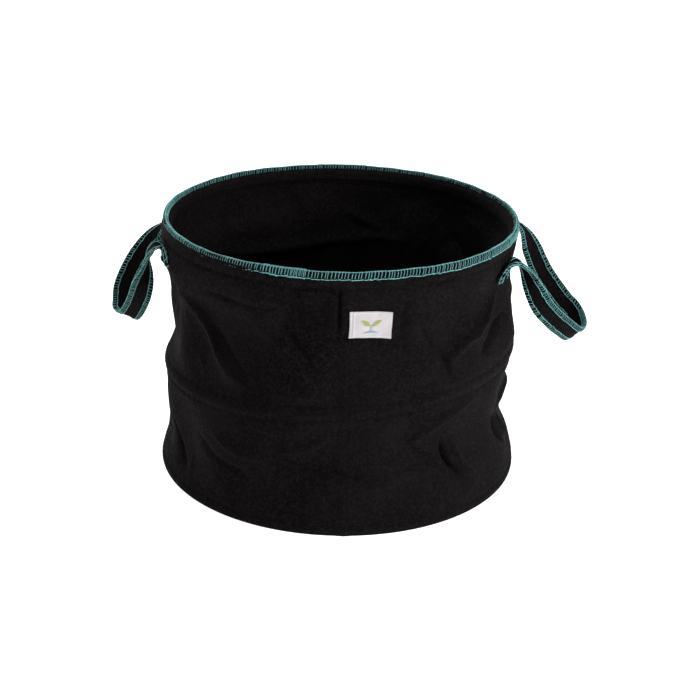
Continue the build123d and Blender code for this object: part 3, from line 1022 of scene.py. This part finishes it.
def join(name, pieces):
    """Several meshes of one material as one piece."""
    points, faces, used = [], [], 0
    for piece in pieces:
        mesh = piece.data
        some = np.zeros(len(mesh.vertices) * 3, np.float32)
        mesh.vertices.foreach_get("co", some)
        quads = np.zeros(len(mesh.loops), np.int32)
        mesh.loops.foreach_get("vertex_index", quads)
        points.append(some.reshape(-1, 3))
        faces.append(quads.reshape(-1, 4) + used)
        used += len(points[-1])
    material = pieces[0].data.materials[0]
    for piece in pieces:
        bpy.data.objects.remove(piece)
    return make_piece(name, np.vstack(points), np.vstack(faces), material)


# Middle line of each strap from its near end to its far end, in mm, and the way across the strap at each
# point. X is counted outward from the bag's middle
RIGHT_KNOTS = (
    (184.6, -85.6, 268.6, -0.38, -0.92, 0.0),
    (190.4, -82.6, 272.6, -0.16, -0.99, 0.0),
    (197.6, -77.2, 270.8, 0.16, -0.98, 0.05),
    (205.2, -70.6, 261.0, 0.34, -0.90, 0.26),
    (213.6, -64.4, 240.8, 0.58, -0.58, 0.56),
    (228.0, -55.0, 212.4, 0.69, -0.12, 0.71),
    (245.0, -42.5, 191.4, 0.70, 0.0, 0.71),
    (259.2, -31.0, 176.8, 0.68, 0.0, 0.73),
    (271.2, -17.5, 165.2, 0.82, 0.0, 0.57),
    (279.6, 0.0, 163.6, 0.71, 0.0, 0.70),
    (278.4, 17.5, 170.4, 0.73, 0.0, 0.68),
    (273.0, 29.5, 178.0, 0.78, 0.0, 0.62),
    (262.8, 39.5, 186.6, 0.83, 0.0, 0.56),
    (240.8, 52.0, 213.8, 0.88, 0.08, 0.48),
    (227.6, 57.6, 239.6, 0.82, 0.36, 0.44),
    (219.4, 59.6, 256.4, 0.50, 0.78, 0.36),
    (211.5, 60.2, 267.5, 0.0, 0.99, 0.1),
    (203.5, 60.6, 270.6, -0.2, 0.98, 0.0),
    (196.0, 61.0, 268.0, -0.3, 0.95, 0.0),
)
LEFT_KNOTS = (
    (196.6, -66.0, 273.4, -0.34, -0.94, -0.05),
    (202.4, -64.0, 275.6, -0.30, -0.95, -0.05),
    (208.0, -61.6, 271.6, -0.20, -0.98, 0.0),
    (213.0, -58.8, 262.5, -0.10, -0.98, 0.0),
    (216.8, -56.4, 245.0, 0.42, -0.88, 0.15),
    (221.2, -50.4, 223.0, 0.93, -0.25, 0.22),
    (226.4, -42.0, 205.5, 0.95, 0.04, 0.28),
    (234.8, -27.0, 186.4, 0.93, 0.0, 0.36),
    (242.8, -13.5, 174.0, 0.94, 0.0, 0.34),
    (251.6, 2.0, 173.4, 0.91, 0.0, 0.40),
    (253.6, 17.0, 177.4, 0.91, 0.0, 0.41),
    (254.4, 32.0, 187.0, 0.90, 0.0, 0.43),
    (251.6, 43.0, 197.4, 0.88, 0.0, 0.47),
    (242.6, 52.0, 215.6, 0.84, 0.1, 0.53),
    (229.8, 57.2, 235.0, 0.74, 0.42, 0.52),
    (217.4, 59.4, 250.0, 0.46, 0.80, 0.38),
    (207.8, 60.4, 259.4, 0.0, 0.99, 0.1),
    (200.6, 60.8, 263.4, -0.2, 0.98, 0.0),
    (195.2, 61.0, 260.8, -0.3, 0.95, 0.0),
)
# Where the two ends are sewn to the wall: angle from the handle's side, and two heights, from the foot up
RIGHT_SEWN = ((-26.2, 254.0, 260.5), (17.6, 253.0, 261.0))
LEFT_SEWN = ((-20.4, 259.0, 266.5), (17.6, 247.0, 254.5))


def tack_rows(strap):
    """Rows of stitches that sew the strap's ends to the wall."""
    groups = []
    for flip in (False, True):
        for s in (1.6 * MM, 4.2 * MM):

            def place(t, out, s=s, flip=flip):
                at = np.full(t.shape, strap.length - s if flip else s)
                middle, width, normal = (strap.at(at, v) for v in (strap.line, strap.width, strap.normal))
                outward = middle * np.array([1, 1, 0])
                facing = np.sign((normal * outward).sum(-1, keepdims=True))
                across = ((t - 0.5) * 13 * MM)[..., None]
                return middle + width * across + normal * facing * (STRAP_HALF * MM + out)[..., None]

            groups.append((row_paths(place, 5), THREAD))
    return groups


for hand, side, knots, sewn in (("right", 1, RIGHT_KNOTS, RIGHT_SEWN), ("left", -1, LEFT_KNOTS, LEFT_SEWN)):
    strap = Strap(side, knots, sewn)
    near_joint, far_joint = strap.joints()
    ends = ((0.0, near_joint), (far_joint, strap.length))
    loop = ((near_joint, far_joint),)
    strap_ends = strap_mesh(f"{hand}_strap_ends", strap, ends, strip_felt)
    strap_loop = strap_mesh(f"{hand}_strap_loop", strap, loop, strip_felt)
    ends_thread = strap_overlock(f"{hand}_overlock_ends", strap, ends)
    loop_thread = strap_overlock(f"{hand}_overlock_loop", strap, loop)
    tacks = threads(f"{hand}_tack_rows", tack_rows(strap), black_thread)
    for piece, node in ((strap_ends, "handle_ends"), (ends_thread, "end_edging")):
        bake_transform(piece)
        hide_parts(f"{hand}_{node}")
    for piece, node in ((strap_loop, "handle_loop"), (loop_thread, "handle_edging")):
        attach(piece, f"{hand}_handle")
        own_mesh(piece)
        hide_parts(f"{hand}_{node}")
    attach(tacks, "rim")
    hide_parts(f"{hand}_end_tacks")

# Bodies, stand-ins and finishes
SOFT = (
    (felt_wall, "wall_panel", "felt"),
    (seam_rows, "seam_thread", "black_thread"),
    (patch, "seam_patch", "felt_strip"),
    (patch_rows, "patch_thread", "black_thread"),
    (label, "label", "label_cloth"),
    (label_rows, "label_thread", "label_thread"),
    (label_sprout, "label_thread", "label_thread"),
    (label_mound, "label_thread", "label_thread"),
    (mid_rows, "mid_stitches", "black_thread"),
)
for piece, node, finish in SOFT:
    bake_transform(piece)
    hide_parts(node)
for piece, body, node, finish in (
    (felt_base, "base", "base_disc", "felt"),
    (base_casing, "base", "base_casing", "felt_strip"),
    (base_rows, "base", "base_stitches", "black_thread"),
    (mid_casing, "mid_ring", "mid_casing", "felt_strip"),
    (mid_inner_rows, "mid_ring", "mid_stitches", "black_thread"),
    (rim_facing, "rim", "rim_facing", "felt_strip"),
    (rim_rows, "rim", "rim_stitches", "black_thread"),
    (rim_overlock, "rim", "rim_overlock", "turquoise_thread"),
    (rim_overlap, "rim", "rim_overlock", "turquoise_thread"),
):
    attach(piece, body)
    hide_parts(node)
for level in ("rim", "mid", "base"):
    for part, metal in (("hoop", steel), ("ferrule", aluminium)):
        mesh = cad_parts[f"{level}_{part}"].data
        mesh.materials.clear()
        mesh.materials.append(metal)


# Floor, light and camera
def floor_material():
    material, tree, shader = new_material("pale_floor")
    faint = remap(tree, noise(tree, coordinates(tree), 3.0, 3.0), 0.3, 0.7, 0.0, 1.0)
    colour = mix_colours(tree, faint, (0.93, 0.93, 0.93), (0.95, 0.95, 0.95))
    tree.links.new(colour, shader.inputs["Base Color"])
    shader.inputs["Roughness"].default_value = 0.9
    shader.inputs["Specular IOR Level"].default_value = 0.1
    shader.inputs["Emission Color"].default_value = (1.0, 1.0, 1.0, 1.0)
    shader.inputs["Emission Strength"].default_value = 0.62
    return material


REACH = 20.0  # half of the floor's side
floor_points = np.array([[-REACH, -REACH, 0], [REACH, -REACH, 0], [REACH, REACH, 0], [-REACH, REACH, 0]])
floor = make_piece("floor", floor_points, np.array([[0, 1, 2, 3]]), floor_material())


AIM = Vector((0, 0, 0.15))


def soft_light(name, place, size, power):
    """A round soft light that points at the bag's middle."""
    lamp = bpy.data.lights.new(name, "AREA")
    lamp.shape = "DISK"
    lamp.size = size
    lamp.energy = power
    light = bpy.data.objects.new(name, lamp)
    light.location = place
    light.rotation_euler = (AIM - Vector(place)).to_track_quat("-Z", "Y").to_euler()
    bpy.context.scene.collection.objects.link(light)


soft_light("key", (1.75, -1.05, 0.66), 0.5, 58)
soft_light("fill", (-1.0, -1.2, 1.25), 0.35, 10)
soft_light("back", (-1.1, 1.7, 0.9), 0.8, 20)
soft_light("top", (0.05, -0.2, 2.2), 0.4, 20)
world = bpy.data.worlds.new("studio")
world.use_nodes = True
world.node_tree.nodes["Background"].inputs["Color"].default_value = (1.0, 1.0, 1.0, 1.0)
world.node_tree.nodes["Background"].inputs["Strength"].default_value = 0.5
bpy.context.scene.world = world
bpy.context.scene.view_settings.view_transform = "Standard"

FRAME_SIZE = 700  # in pixels, as the focal length
FOCAL = 1500
SENSOR = 36.0
ELEVATION = math.radians(22.3)
ROLL = math.radians(1.36)
DISTANCE = 1.755
lens = bpy.data.cameras.new("camera")
lens.sensor_width = SENSOR
lens.lens = SENSOR * FOCAL / FRAME_SIZE
lens.shift_x = 0.0166
lens.shift_y = -0.0221
lens.clip_end = 100
camera = bpy.data.objects.new("camera", lens)
camera.location = AIM + DISTANCE * Vector((0, -math.cos(ELEVATION), math.sin(ELEVATION)))
level = (AIM - camera.location).to_track_quat("-Z", "Y")
camera.rotation_mode = "QUATERNION"
camera.rotation_quaternion = level @ Quaternion((0, 0, 1), ROLL)
bpy.context.scene.collection.objects.link(camera)
bpy.context.scene.camera = camera
